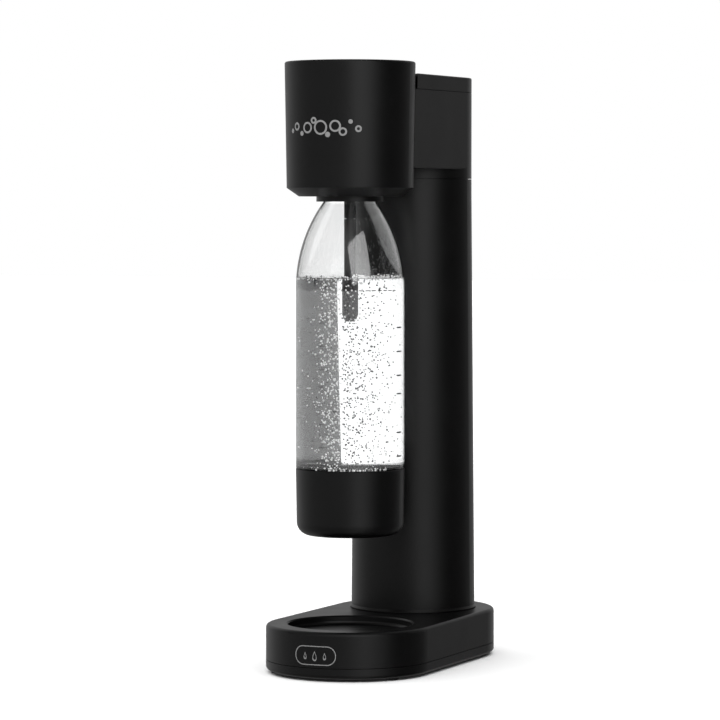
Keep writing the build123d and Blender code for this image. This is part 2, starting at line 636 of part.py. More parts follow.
def head_screws():
    places = [on_circle(HEAD_BOSS_R, degrees, BOTTLE_Y) for degrees in HEAD_BOSS_ANGLES]
    screws = [screw(x, y, CARRIER_TOP, CARRIER - 9, SHANK_R, 2.6, SCREW_HEAD) for x, y in places]
    return Compound(children=screws)


def carrier_screws():
    places = [on_circle(BLOCK_BOSS_R, degrees, COLUMN_Y) for degrees in COLUMN_SCREW_ANGLES]
    screws = [screw(x, y, CARRIER_TOP, CARRIER - 6, SHANK_R, 2.6, SCREW_HEAD) for x, y in places]
    return Compound(children=screws)


def flange_screws(y_axis, flange_top):
    places = flange_screw_places(y_axis)
    screws = [screw(x, y, flange_top, CARRIER, FLANGE_SHANK_R, 2.7, SCREW_HEAD) for x, y in places]
    return Compound(children=screws)


def lever():
    """Second-class lever: pivoted at the back, over the valve pin, pressed at the bottle's axis."""
    bar = block(-LEVER_HALF_WIDTH, LEVER_HALF_WIDTH, BOTTLE_Y, PIVOT_Y, LEVER_BOTTOM, LEVER_TOP)
    pocket_x = LEVER_HALF_WIDTH - 3
    for side in (-1, 1):
        outer = side * (LEVER_HALF_WIDTH + 1)
        inner = side * (LEVER_HALF_WIDTH - pocket_x / 2)
        for y0, y1 in ((BOTTLE_Y + 13, -4), (2, COLUMN_Y - 8)):
            bar -= block(min(inner, outer), max(inner, outer), y0, y1, LEVER_BOTTOM + 2, LEVER_TOP - 2)
    bar += cylinder(LEVER_PAD_R, LEVER_BOTTOM, LEVER_TOP, 0, BOTTLE_Y)
    bar += along_x(LEVER_EYE_R, -LEVER_HALF_WIDTH, LEVER_HALF_WIDTH, PIVOT_Y, PIVOT_Z)
    return bar - along_x(PIN_R + RUNNING, -20, 20, PIVOT_Y, PIVOT_Z)


def lever_pin():
    pin = along_x(PIN_R, -EAR_OUTER, PIN_END, PIVOT_Y, PIVOT_Z)
    pin += along_x(PIN_HEAD_R, -EAR_OUTER - PIN_HEAD, -EAR_OUTER, PIVOT_Y, PIVOT_Z)
    groove = along_x(PIN_R + 1, *PIN_GROOVE, PIVOT_Y, PIVOT_Z)
    return pin - (groove - along_x(PIN_GROOVE_R, *PIN_GROOVE, PIVOT_Y, PIVOT_Z))


def lever_pin_clip():
    low, high = PIN_GROOVE
    ring = along_x(PIN_CLIP_R, low, high, PIVOT_Y, PIVOT_Z)
    ring -= along_x(PIN_GROOVE_R, low - 1, high + 1, PIVOT_Y, PIVOT_Z)
    mouth = PIN_CLIP_MOUTH
    return ring - block(low - 1, high + 1, PIVOT_Y - mouth, PIVOT_Y + mouth, PIVOT_Z - 6, PIVOT_Z)


# ---------------------------------------------------------------- gas line


def barb_frame(y_axis, forward):
    """Location on an upright axis whose Z looks along a hose barb; forward is -1 or +1 along Y."""
    turn = math.radians(HOSE_TURN)
    return Plane(origin=(0, y_axis, HOSE_Z), z_dir=(math.sin(turn), forward * math.cos(turn), 0))


def barb(y_axis, forward, root, tip):
    """Hose tail from root to tip along the barb's own direction."""
    plane = barb_frame(y_axis, forward)
    return plane * Pos(0, 0, (root + tip) / 2) * Cylinder(BARB_R, tip - root)


def barb_bore(y_axis, forward, tip):
    plane = barb_frame(y_axis, forward)
    return plane * Pos(0, 0, (tip + 1) / 2) * Cylinder(BARB_BORE, tip + 1)


def valve_holder():
    """Threaded brass socket for the cylinder's valve, with the press pin's guide above it."""
    flange_top = CARRIER_TOP + HOLDER_FLANGE
    body = cylinder(HOLDER_R, COLUMN_TOP - 3, CARRIER_TOP, 0, COLUMN_Y)
    body += cylinder(FLANGE_R, CARRIER_TOP, flange_top, 0, COLUMN_Y)
    body += cylinder(HOLDER_NECK_R, flange_top, HOLDER_TOP, 0, COLUMN_Y)
    body += barb(COLUMN_Y, -1, 9, 25)
    body -= cylinder(SOCKET_BORE_R, COLUMN_TOP - 4, VALVE_FACE + FIT + GASKET_THICKNESS, 0, COLUMN_Y)
    body -= cylinder(CHAMBER_R, VALVE_FACE, CHAMBER_TOP, 0, COLUMN_Y)
    body -= cylinder(PRESS_PIN_R + RUNNING, CHAMBER_TOP, HOLDER_TOP + 1, 0, COLUMN_Y)
    body -= cylinder(PIN_SEAL_R, PIN_SEAL_LOW, PIN_SEAL_TOP, 0, COLUMN_Y)
    body -= barb_bore(COLUMN_Y, -1, 25)
    for x, y in flange_screw_places(COLUMN_Y):
        body -= cylinder(SHANK_CLEAR_R, CARRIER_TOP - 1, flange_top + 1, x, y)
    return body


def valve_gasket():
    low = VALVE_FACE + FIT
    top = low + GASKET_THICKNESS
    ring = cylinder(SOCKET_BORE_R, low, top, 0, COLUMN_Y)
    return ring - cylinder(GASKET_BORE_R, low - 1, top + 1, 0, COLUMN_Y)


def press_pin():
    low = VALVE_FACE + VALVE_PIN_RISE + PRESS_PIN_GAP
    return cylinder(PRESS_PIN_R, low, LEVER_BOTTOM - PRESS_PIN_GAP, 0, COLUMN_Y)


def press_pin_seal():
    ring = cylinder(PIN_SEAL_R, PIN_SEAL_LOW, PIN_SEAL_TOP, 0, COLUMN_Y)
    return ring - cylinder(PRESS_PIN_R + 0.1, PIN_SEAL_LOW - 1, PIN_SEAL_TOP + 1, 0, COLUMN_Y)


def hose_path():
    """Level route from the valve holder's barb to the nozzle block's barb."""
    turn = math.radians(HOSE_TURN)
    start_r, end_r = 13.0, 14.0
    start = (start_r * math.sin(turn), COLUMN_Y - start_r * math.cos(turn))
    end = (end_r * math.sin(turn), BOTTLE_Y + end_r * math.cos(turn))
    corner_a = (HOSE_SIDE_X, COLUMN_Y - HOSE_SIDE_X / math.tan(turn))
    corner_b = (HOSE_SIDE_X, BOTTLE_Y + HOSE_SIDE_X / math.tan(turn))
    middle = abs(corner_a[1] - corner_b[1])
    radius = 0.45 * middle / math.tan(turn / 2)
    points = [(x, y, HOSE_Z) for x, y in (start, corner_a, corner_b, end)]
    return FilletPolyline(*points, radius=radius)


def gas_hose():
    path = hose_path()
    ring = Circle(HOSE_OUT_R) - Circle(HOSE_IN_R)
    hose = sweep(Plane(origin=path @ 0, z_dir=path % 0) * ring, path=path)
    print("gas hose: length", round(path.length, 1), "volume ratio", hose.volume / (ring.area * path.length))
    return hose


def hose_clamps():
    """Spring bands over the hose where it covers each barb."""
    bands = []
    for y_axis, forward, reach in ((COLUMN_Y, -1, 19.0), (BOTTLE_Y, 1, 20.0)):
        plane = barb_frame(y_axis, forward) * Pos(0, 0, reach)
        bands.append(plane * (Cylinder(CLAMP_R, CLAMP_WIDTH) - Cylinder(HOSE_OUT_R, CLAMP_WIDTH + 2)))
    return Compound(children=bands)


def nozzle_block():
    """Manifold on the bottle's axis: gas in at the back, nozzle below, relief valve at the left."""
    flange_top = CARRIER_TOP + NOZZLE_BLOCK_FLANGE
    body = cylinder(NOZZLE_BLOCK_NECK_R, NOZZLE_BLOCK_BOTTOM, CARRIER, 0, BOTTLE_Y)
    body += cylinder(NOZZLE_BLOCK_R, CARRIER, CARRIER_TOP, 0, BOTTLE_Y)
    body += cylinder(FLANGE_R, CARRIER_TOP, flange_top, 0, BOTTLE_Y)
    body += cylinder(NOZZLE_BLOCK_TOP_R, flange_top, NOZZLE_BLOCK_TOP, 0, BOTTLE_Y)
    body += barb(BOTTLE_Y, 1, 10, 26)
    body -= cylinder(NOZZLE_R, NOZZLE_BLOCK_BOTTOM - 1, CARRIER, 0, BOTTLE_Y)
    body -= cylinder(NOZZLE_BORE, CARRIER - 1, HOSE_Z + 1, 0, BOTTLE_Y)
    body -= barb_bore(BOTTLE_Y, 1, 26)
    body -= along_x(RELIEF_TAIL_R, RELIEF_X[1] - 1, RELIEF_TAIL_X, BOTTLE_Y, HOSE_Z)
    body -= along_x(BARB_BORE, RELIEF_TAIL_X - 1, 0, BOTTLE_Y, HOSE_Z)
    for x, y in flange_screw_places(BOTTLE_Y):
        body -= cylinder(SHANK_CLEAR_R, CARRIER_TOP - 1, flange_top + 1, x, y)
    return body


def nozzle_stem():
    stem = cylinder(NOZZLE_R, NOZZLE_JOINT, CARRIER, 0, BOTTLE_Y)
    stem += cylinder(SOCKET_R, NOZZLE_JOINT - SOCKET_DEPTH, NOZZLE_JOINT, 0, BOTTLE_Y)
    return stem - cylinder(NOZZLE_BORE, NOZZLE_JOINT - SOCKET_DEPTH - 1, CARRIER + 1, 0, BOTTLE_Y)


def nozzle_tip():
    """Long dip tube, narrowed by a cone at its lower end."""
    cone_top = NOZZLE_END + NOZZLE_CONE
    tip = cylinder(NOZZLE_R, cone_top, NOZZLE_JOINT - SEAM, 0, BOTTLE_Y)
    tip += cone(NOZZLE_END_R, NOZZLE_R, NOZZLE_END, cone_top, 0, BOTTLE_Y)
    tip -= cylinder(SOCKET_R, NOZZLE_JOINT - SOCKET_DEPTH, NOZZLE_JOINT, 0, BOTTLE_Y)
    return tip - cylinder(NOZZLE_BORE - 0.4, NOZZLE_END - 1, NOZZLE_JOINT, 0, BOTTLE_Y)


def relief_valve_body():
    outer, inner = RELIEF_X
    body = along_x(RELIEF_R, outer, inner, BOTTLE_Y, HOSE_Z)
    body += along_x(RELIEF_TAIL_R, inner, RELIEF_TAIL_X, BOTTLE_Y, HOSE_Z)
    body -= along_x(RELIEF_BORE_R, outer - 1, RELIEF_SEAT_X, BOTTLE_Y, HOSE_Z)
    return body - along_x(BARB_BORE, RELIEF_SEAT_X - 1, RELIEF_TAIL_X + 1, BOTTLE_Y, HOSE_Z)


def relief_poppet():
    return along_x(RELIEF_BORE_R - RUNNING, RELIEF_SEAT_X - RELIEF_POPPET, RELIEF_SEAT_X, BOTTLE_Y, HOSE_Z)


def relief_cap():
    outer = RELIEF_X[0]
    cap = along_x(RELIEF_BORE_R, outer, outer + RELIEF_CAP, BOTTLE_Y, HOSE_Z)
    return cap - along_x(RELIEF_VENT_R, outer - 1, outer + RELIEF_CAP + 1, BOTTLE_Y, HOSE_Z)


def relief_spring():
    low = RELIEF_X[0] + RELIEF_CAP + 0.1
    high = RELIEF_SEAT_X - RELIEF_POPPET - 0.1
    return Pos(low, BOTTLE_Y, HOSE_Z) * Rot(0, 90, 0) * coil(0.35, 2.4, 0, high - low, 6)


# ---------------------------------------------------------------- gas cylinder


def co2_cylinder():
    """Aluminium bottle with a domed shoulder and a neck for the valve."""
    sweep_angle = math.degrees(math.acos(1 - (CYLINDER_R - CYLINDER_NECK_R) / CYLINDER_DOME))
    dome = CenterArc((CYLINDER_R - CYLINDER_DOME, CYLINDER_SHOULDER), CYLINDER_DOME, 0, sweep_angle)
    top_z = (dome @ 1).Y
    outline = Curve() + [
        Line((0, CYLINDER_BOTTOM + 3), (18, CYLINDER_BOTTOM)),
        Line((18, CYLINDER_BOTTOM), (24, CYLINDER_BOTTOM)),
        CenterArc((24, CYLINDER_BOTTOM + 6), 6, -90, 90),
        Line((CYLINDER_R, CYLINDER_BOTTOM + 6), (CYLINDER_R, CYLINDER_SHOULDER)),
        dome,
        Line((CYLINDER_NECK_R, top_z), (CYLINDER_NECK_R, CYLINDER_NECK)),
        Line((CYLINDER_NECK_R, CYLINDER_NECK), (0, CYLINDER_NECK)),
        Line((0, CYLINDER_NECK), (0, CYLINDER_BOTTOM + 3)),
    ]
    outer = revolve(Plane.XZ * make_face(outline), Axis.Z)
    inner_r = CYLINDER_R - CYLINDER_WALL
    cavity = cylinder(inner_r, CYLINDER_BOTTOM + 7, CYLINDER_SHOULDER)
    cavity += cone(inner_r, VALVE_STEM_R, CYLINDER_SHOULDER, CYLINDER_NECK - 12)
    neck_bore = cylinder(VALVE_STEM_R, CYLINDER_NECK - 13, CYLINDER_NECK + 1)
    return Pos(0, COLUMN_Y, 0) * (outer - cavity - neck_bore)


def cylinder_valve():
    """Brass valve screwed into the cylinder's neck; its top screws into the valve holder."""
    collar_top = CYLINDER_NECK + VALVE_COLLAR
    valve = cylinder(VALVE_STEM_R, CYLINDER_NECK - 12, CYLINDER_NECK, 0, COLUMN_Y)
    valve += cylinder(VALVE_COLLAR_R, CYLINDER_NECK, collar_top, 0, COLUMN_Y)
    valve += cylinder(VALVE_THREAD_CORE_R, collar_top, VALVE_FACE, 0, COLUMN_Y)
    for turn in range(4):
        low = collar_top + 1.9 + VALVE_THREAD_PITCH * turn
        valve += cylinder(VALVE_THREAD_R, low, low + VALVE_THREAD_PITCH / 2, 0, COLUMN_Y)
    for side in (-1, 1):
        x0, x1 = sorted((side * 11.2, side * (VALVE_COLLAR_R + 1)))
        valve -= block(x0, x1, COLUMN_Y - 14, COLUMN_Y + 14, CYLINDER_NECK + 2, collar_top - 2)
    valve -= cylinder(VALVE_PIN_R + RUNNING, CYLINDER_NECK + 8, VALVE_FACE + 1, 0, COLUMN_Y)
    return valve - cylinder(VALVE_MOUTH_R, VALVE_FACE - VALVE_MOUTH_DEPTH, VALVE_FACE + 1, 0, COLUMN_Y)


def valve_pin():
    return cylinder(VALVE_PIN_R, CYLINDER_NECK + 11, VALVE_FACE + VALVE_PIN_RISE, 0, COLUMN_Y)


# ---------------------------------------------------------------- bottle and its holder


def bottle_holder():
    """Black collar that the bottle's neck screws into, hung from the carrier frame."""
    holder = cylinder(COLLAR_R, COLLAR_BOTTOM, CARRIER, 0, BOTTLE_Y)
    holder += cylinder(COLLAR_FLANGE_R, CARRIER - 4, CARRIER, 0, BOTTLE_Y)
    holder -= cylinder(COLLAR_BORE_R, COLLAR_BOTTOM - 1, CARRIER - 3, 0, BOTTLE_Y)
    holder -= cylinder(NOZZLE_BLOCK_NECK_R + 0.1, CARRIER - 4, CARRIER + 1, 0, BOTTLE_Y)
    for x, y in holder_screw_places():
        holder -= cylinder(SHANK_R, CARRIER - 5, CARRIER + 1, x, y)
    return holder


def holder_screws():
    places = holder_screw_places()
    screws = [screw(x, y, CARRIER_TOP, CARRIER - 3.8, SHANK_R, 2.5, SCREW_HEAD) for x, y in places]
    return Compound(children=screws)


def bottle_seal():
    low = BOTTLE_RIM + FIT
    ring = cylinder(COLLAR_BORE_R, low, CARRIER - 3, 0, BOTTLE_Y)
    return ring - cylinder(NOZZLE_BLOCK_NECK_R + 0.3, low - 1, CARRIER, 0, BOTTLE_Y)


def bottle_half(inset, rim):
    """Outline of the bottle in the XZ plane, moved inwards by inset, up to the height rim."""
    body_r = BOTTLE_R - inset
    cup_fit_r = CUP_R - CUP_WALL - FIT - inset
    neck_r = NECK_R - inset
    arc_r = SHOULDER_ARC - inset
    centre_x = BOTTLE_R - SHOULDER_ARC
    rise = math.degrees(math.asin((NECK_START - 1.0 - SHOULDER_START) / SHOULDER_ARC))
    shoulder = CenterArc((centre_x, SHOULDER_START), arc_r, 0, rise)
    bend = shoulder @ 1
    floor = BOTTLE_FLOOR + inset
    corner = BOTTLE_CORNER - inset
    step = CUP_RIM + inset
    return Curve() + [
        Line((0, floor + 7), (14, floor)),
        Line((14, floor), (cup_fit_r - corner, floor)),
        CenterArc((cup_fit_r - corner, floor + corner), corner, -90, 90),
        Line((cup_fit_r, floor + corner), (cup_fit_r, step)),
        Line((cup_fit_r, step), (body_r, step + 0.6)),
        Line((body_r, step + 0.6), (body_r, SHOULDER_START)),
        shoulder,
        Line((bend.X, bend.Y), (neck_r, NECK_START)),
        Line((neck_r, NECK_START), (neck_r, rim)),
        Line((neck_r, rim), (0, rim)),
        Line((0, rim), (0, floor + 7)),
    ]


def bottle_body():
    """Clear bottle, open at the neck, with rounded ribs where its thread runs."""
    outer = revolve(Plane.XZ * make_face(bottle_half(0, BOTTLE_RIM)), Axis.Z)
    for turn in range(3):
        low = NECK_START + 8 + 4 * turn
        outer += cylinder(NECK_RIB_R, low, low + 1.6)
    inner = revolve(Plane.XZ * make_face(bottle_half(PET, BOTTLE_RIM + 1)), Axis.Z)
    neck_bore = cylinder(NECK_BORE_R, NECK_START + 2, BOTTLE_RIM + 1)
    inner_low = inner & cylinder(60, 0, NECK_START + 2)
    return Pos(0, BOTTLE_Y, 0) * (outer - inner_low - neck_bore)


def bottle_cup():
    """Black cup glued round the bottle's foot."""
    outer = cone(CUP_R - CUP_DRAFT, CUP_R, CUP_BOTTOM, CUP_RIM - SEAM, 0, BOTTLE_Y)
    outer = fillet(edges_at(outer, CUP_BOTTOM), CUP_CORNER)
    outer = fillet(edges_at(outer, CUP_RIM - SEAM), 0.5)
    inner_r = CUP_R - CUP_WALL
    hollow = cone(inner_r - CUP_DRAFT / 2, inner_r, CUP_BOTTOM + 4, CUP_RIM, 0, BOTTLE_Y)
    hollow = fillet(edges_at(hollow, CUP_BOTTOM + 4), 8.5)
    foot_dish = Pos(0, BOTTLE_Y, CUP_BOTTOM - 58) * Sphere(60)
    return outer - hollow - foot_dish


# ---------------------------------------------------------------- all nodes


def nodes():
    pieces = {name: foot(x, y) for name, (x, y) in foot_places().items()}
    makers = (
        base_shell, base_plate, base_screws, cylinder_seat, column_shell, column_screws, block_screws,
        rear_cover, block_shell, top_lid, head_shell, push_button, button_rod, rod_clip, button_guide,
        guide_screws, return_spring, carrier_frame, head_screws, carrier_screws, lever, lever_pin,
        lever_pin_clip, valve_holder, valve_gasket, press_pin, press_pin_seal, gas_hose, hose_clamps,
        nozzle_block, nozzle_stem, nozzle_tip, relief_valve_body, relief_poppet, relief_cap, relief_spring,
        co2_cylinder, cylinder_valve, valve_pin, bottle_holder, holder_screws, bottle_seal, bottle_body,
        bottle_cup)
    for maker in makers:
        pieces[maker.__name__] = maker()
    pieces["valve_holder_screws"] = flange_screws(COLUMN_Y, CARRIER_TOP + HOLDER_FLANGE)
    pieces["nozzle_block_screws"] = flange_screws(BOTTLE_Y, CARRIER_TOP + NOZZLE_BLOCK_FLANGE)
    return pieces


os.makedirs("parts", exist_ok=True)
for name, solid in nodes().items():
    export_step(solid, f"parts/{name}.step")
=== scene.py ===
import math
import json
import random

import bmesh
import bpy
from mathutils import Matrix, Vector


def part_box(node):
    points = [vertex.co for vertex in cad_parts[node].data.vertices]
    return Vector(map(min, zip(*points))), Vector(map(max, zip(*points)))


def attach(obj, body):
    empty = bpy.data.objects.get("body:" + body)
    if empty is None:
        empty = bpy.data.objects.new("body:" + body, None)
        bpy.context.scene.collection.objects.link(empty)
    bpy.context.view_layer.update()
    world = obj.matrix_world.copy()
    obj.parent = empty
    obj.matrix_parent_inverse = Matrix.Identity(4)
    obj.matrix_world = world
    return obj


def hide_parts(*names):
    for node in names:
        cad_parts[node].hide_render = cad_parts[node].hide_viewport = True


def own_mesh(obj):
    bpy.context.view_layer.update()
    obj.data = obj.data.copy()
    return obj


# The looks of the soda carbonator: materials for the CAD pieces, the clear bottle with its sparkling
# water, two springs, printed marks, floor and light. Metres: front towards -Y, +Z up.
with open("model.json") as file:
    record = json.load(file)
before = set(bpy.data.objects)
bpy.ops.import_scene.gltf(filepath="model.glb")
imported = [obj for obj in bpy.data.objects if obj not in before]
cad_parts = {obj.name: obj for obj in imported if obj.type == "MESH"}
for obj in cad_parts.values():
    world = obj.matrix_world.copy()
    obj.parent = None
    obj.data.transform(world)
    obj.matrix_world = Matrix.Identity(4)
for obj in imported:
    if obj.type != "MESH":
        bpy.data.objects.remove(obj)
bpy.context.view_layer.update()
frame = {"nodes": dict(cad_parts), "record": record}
nodes = frame["nodes"]
random.seed(12)

# ---------------------------------------------------------------- places read from the frame


def centre(node):
    low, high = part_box(node)
    return (Vector(low) + Vector(high)) / 2


def low_z(node):
    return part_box(node)[0][2]


def high_z(node):
    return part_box(node)[1][2]


def half_width(node):
    return (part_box(node)[1][0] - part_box(node)[0][0]) / 2


BOTTLE_Y = centre("bottle_body").y
CUP_RIM = high_z("bottle_cup")
BOTTLE_RIM = high_z("bottle_body")
BOTTLE_R = half_width("bottle_body")
HEAD_R = half_width("head_shell")
BASE_R = half_width("base_shell")
NOZZLE_END = low_z("nozzle_tip")
NOZZLE_R = half_width("nozzle_tip")

# ---------------------------------------------------------------- camera and room

MIDDLE = Vector((0, 0, 0.24))           # of the machine, where the softboxes point
KEY_AZIMUTH = 45                        # degrees from the front towards +X
KEY_RISE = 23.5
CAMERA_YAW = math.radians(24.34)        # the view looks to the left of straight back by this
CAMERA_PITCH = math.radians(2.547)      # downward tilt
CAMERA_PLACE = Vector((1.0240, -2.3031, 0.3334))
CAMERA_LENS = 172.96
SENSOR = 36.0
CAMERA_CLIP = 30


def make_camera():
    data = bpy.data.cameras.new("camera")
    data.lens = CAMERA_LENS
    data.sensor_width = SENSOR
    data.clip_end = CAMERA_CLIP
    camera = bpy.data.objects.new("camera", data)
    bpy.context.scene.collection.objects.link(camera)
    camera.location = CAMERA_PLACE
    camera.rotation_euler = (math.radians(90) - CAMERA_PITCH, 0, CAMERA_YAW)
    bpy.context.scene.camera = camera


def area_light(name, azimuth, elevation, distance, width, tall, radiance, roll=0.0):
    """Softbox aimed at the middle of the machine; azimuth is measured from the front towards +X."""
    data = bpy.data.lights.new(name, "AREA")
    data.shape = "RECTANGLE"
    data.size = width
    data.size_y = tall
    data.energy = radiance * math.pi * width * tall
    light = bpy.data.objects.new(name, data)
    turn = math.radians(azimuth)
    rise = math.radians(elevation)
    aside = Vector((math.sin(turn) * math.cos(rise), -math.cos(turn) * math.cos(rise), math.sin(rise)))
    light.location = MIDDLE + distance * aside
    tilt = (-aside).to_track_quat("-Z", "Y").to_matrix() @ Matrix.Rotation(math.radians(roll), 3, "Z")
    light.rotation_euler = tilt.to_euler()
    bpy.context.scene.collection.objects.link(light)
    return light


def math_node(tree, operation, first, second=None):
    node = tree.nodes.new("ShaderNodeMath")
    node.operation = operation
    for socket, value in zip(node.inputs, (first, second)):
        if value is None:
            continue
        if isinstance(value, (int, float)):
            socket.default_value = value
        else:
            tree.links.new(value, socket)
    return node.outputs[0]


def grey_ramp(tree, source, stops):
    """Grey level against a value from 0 to 1."""
    ramp = tree.nodes.new("ShaderNodeValToRGB")
    ramp.color_ramp.elements[0].position = stops[0][0]
    ramp.color_ramp.elements[1].position = stops[-1][0]
    for place, _ in stops[1:-1]:
        ramp.color_ramp.elements.new(place)
    for element, (_, level) in zip(ramp.color_ramp.elements, stops):
        element.color = (level, level, level, 1)
    tree.links.new(source, ramp.inputs["Fac"])
    return ramp.outputs["Color"]


# Room brightness against azimuth in degrees, 0 at the front and 90 at the machine's right
ROOM_LOW = ((-180, 0.495), (-110, 0.472), (-65, 0.287), (20, 0.27), (45, 0.805), (85, 0.046), (132, 0.078),
            (156, 0.139), (180, 0.495))
ROOM_HIGH = ((-180, 0.391), (-150, 0.45), (-120, 0.58), (-65, 0.12), (20, 0.624), (60, 0.02), (100, 0.02),
             (125, 0.108), (180, 0.391))
ROOM_TOP = 0.204
LOW_TO_HIGH = (6, 18)                   # elevations in degrees over which the low row turns into the high one
HIGH_TO_TOP = (35, 55)
UNDER_RANGE = (-25, -4)                 # and over which the room fades below the horizon
UNDER_SHARE = 0.55                      # of the room's brightness, seen from below the horizon
INNER_SHARE = 0.12                      # of it, seen by light that has bounced about inside the bottle
WHITE = (1, 1, 1, 1)


def rise_between(tree, height, elevations, start=0.0, smooth=True):
    """Rises from start to 1 between two elevations; height is the sine of the elevation."""
    lay = tree.nodes.new("ShaderNodeMapRange")
    if smooth:
        lay.interpolation_type = "SMOOTHSTEP"
    lay.inputs["From Min"].default_value = math.sin(math.radians(elevations[0]))
    lay.inputs["From Max"].default_value = math.sin(math.radians(elevations[1]))
    lay.inputs["To Min"].default_value = start
    tree.links.new(height, lay.inputs["Value"])
    return lay.outputs["Result"]


def mix_colours(tree, share, first, second):
    """First colour turning into the second; the second may be a fixed colour."""
    mixed = tree.nodes.new("ShaderNodeMix")
    mixed.data_type = "RGBA"
    tree.links.new(share, mixed.inputs["Factor"])
    tree.links.new(first, mixed.inputs["A"])
    if isinstance(second, tuple):
        mixed.inputs["B"].default_value = second
    else:
        tree.links.new(second, mixed.inputs["B"])
    return mixed.outputs["Result"]


def room_colour(tree, split):
    """Brightness of the room by azimuth and elevation."""
    back = math_node(tree, "MULTIPLY", split.outputs["Y"], -1.0)
    turn = math_node(tree, "ARCTAN2", split.outputs["X"], back)
    share = math_node(tree, "MULTIPLY_ADD", turn, 0.5 / math.pi)
    share.node.inputs[2].default_value = 0.5
    low, high = (grey_ramp(tree, share, [((a + 180) / 360, level) for a, level in stops])
                 for stops in (ROOM_LOW, ROOM_HIGH))
    up = split.outputs["Z"]
    sides = mix_colours(tree, rise_between(tree, up, LOW_TO_HIGH), low, high)
    return mix_colours(tree, rise_between(tree, up, HIGH_TO_TOP), sides, (ROOM_TOP, ROOM_TOP, ROOM_TOP, 1))


def make_world():
    """White to the camera and through the bottle; a studio with soft panels to every other ray."""
    world = bpy.data.worlds.new("studio")
    bpy.context.scene.world = world
    world.use_nodes = True
    tree = world.node_tree
    tree.nodes.clear()
    place = tree.nodes.new("ShaderNodeTexCoord")
    split = tree.nodes.new("ShaderNodeSeparateXYZ")
    tree.links.new(place.outputs["Generated"], split.inputs["Vector"])
    path = tree.nodes.new("ShaderNodeLightPath")
    inside = path.outputs["Is Transmission Ray"]
    straight = math_node(tree, "LESS_THAN", path.outputs["Glossy Depth"], 0.5)
    through = math_node(tree, "MULTIPLY", inside, straight)
    plain = math_node(tree, "MAXIMUM", path.outputs["Is Camera Ray"], through)
    bounced = math_node(tree, "MULTIPLY", inside, math_node(tree, "SUBTRACT", 1.0, straight))
    fade = math_node(tree, "MULTIPLY_ADD", bounced, INNER_SHARE - 1.0)
    fade.node.inputs[2].default_value = 1.0
    below = rise_between(tree, split.outputs["Z"], UNDER_RANGE, UNDER_SHARE, smooth=False)
    room = tree.nodes.new("ShaderNodeVectorMath")
    room.operation = "SCALE"
    tree.links.new(room_colour(tree, split), room.inputs[0])
    tree.links.new(math_node(tree, "MULTIPLY", fade, below), room.inputs["Scale"])
    sky = tree.nodes.new("ShaderNodeBackground")
    tree.links.new(mix_colours(tree, plain, room.outputs["Vector"], WHITE), sky.inputs["Color"])
    out = tree.nodes.new("ShaderNodeOutputWorld")
    tree.links.new(sky.outputs[0], out.inputs["Surface"])


make_camera()
make_world()
area_light("key_softbox", KEY_AZIMUTH, KEY_RISE, distance=2.18, width=1.63, tall=1.37, radiance=0.71, roll=6)

# ---------------------------------------------------------------- materials


def material(name):
    made = bpy.data.materials.new(name)
    made.use_nodes = True
    return made, made.node_tree, made.node_tree.nodes["Principled BSDF"]


def object_noise(tree, scale, detail=2.0, roughness=0.5):
    place = tree.nodes.new("ShaderNodeTexCoord")
    noise = tree.nodes.new("ShaderNodeTexNoise")
    noise.inputs["Scale"].default_value = scale
    noise.inputs["Detail"].default_value = detail
    noise.inputs["Roughness"].default_value = roughness
    tree.links.new(place.outputs["Object"], noise.inputs["Vector"])
    return noise


NOISE_RANGE = (0.3, 0.7)                # nearly all noise values lie between these


def spread(tree, source, low, high):
    """Maps a noise value to the range low to high."""
    lay = tree.nodes.new("ShaderNodeMapRange")
    lay.inputs["From Min"].default_value = NOISE_RANGE[0]
    lay.inputs["From Max"].default_value = NOISE_RANGE[1]
    lay.inputs["To Min"].default_value = low
    lay.inputs["To Max"].default_value = high
    tree.links.new(source, lay.inputs["Value"])
    return lay.outputs["Result"]


def add_bump(tree, shader, height, distance, strength):
    bump = tree.nodes.new("ShaderNodeBump")
    bump.inputs["Distance"].default_value = distance
    bump.inputs["Strength"].default_value = strength
    tree.links.new(height, bump.inputs["Height"])
    tree.links.new(bump.outputs["Normal"], shader.inputs["Normal"])


def two_tone(tree, shader, source, dark, light):
    mix = tree.nodes.new("ShaderNodeMix")
    mix.data_type = "RGBA"
    mix.inputs["A"].default_value = (*dark, 1)
    mix.inputs["B"].default_value = (*light, 1)
    tree.links.new(spread(tree, source, 0.0, 1.0), mix.inputs["Factor"])
    tree.links.new(mix.outputs["Result"], shader.inputs["Base Color"])


BROAD_NOISE = 38.0                      # noise cells per metre, for drift over centimetres
ROUGH_DRIFT = 0.025


def moulded(name, dark, light, rough, grain=5200.0, depth=0.000025, strength=0.25):
    """Moulded plastic, rubber, paint or ink: a very fine grain, and roughness that drifts."""
    made, tree, shader = material(name)
    fine = object_noise(tree, grain, 1.0)
    broad = object_noise(tree, BROAD_NOISE, 3.0)
    two_tone(tree, shader, broad.outputs["Fac"], dark, light)
    rough_value = spread(tree, broad.outputs["Fac"], rough - ROUGH_DRIFT, rough + ROUGH_DRIFT)
    tree.links.new(rough_value, shader.inputs["Roughness"])
    add_bump(tree, shader, fine.outputs["Fac"], depth, strength)
    return made


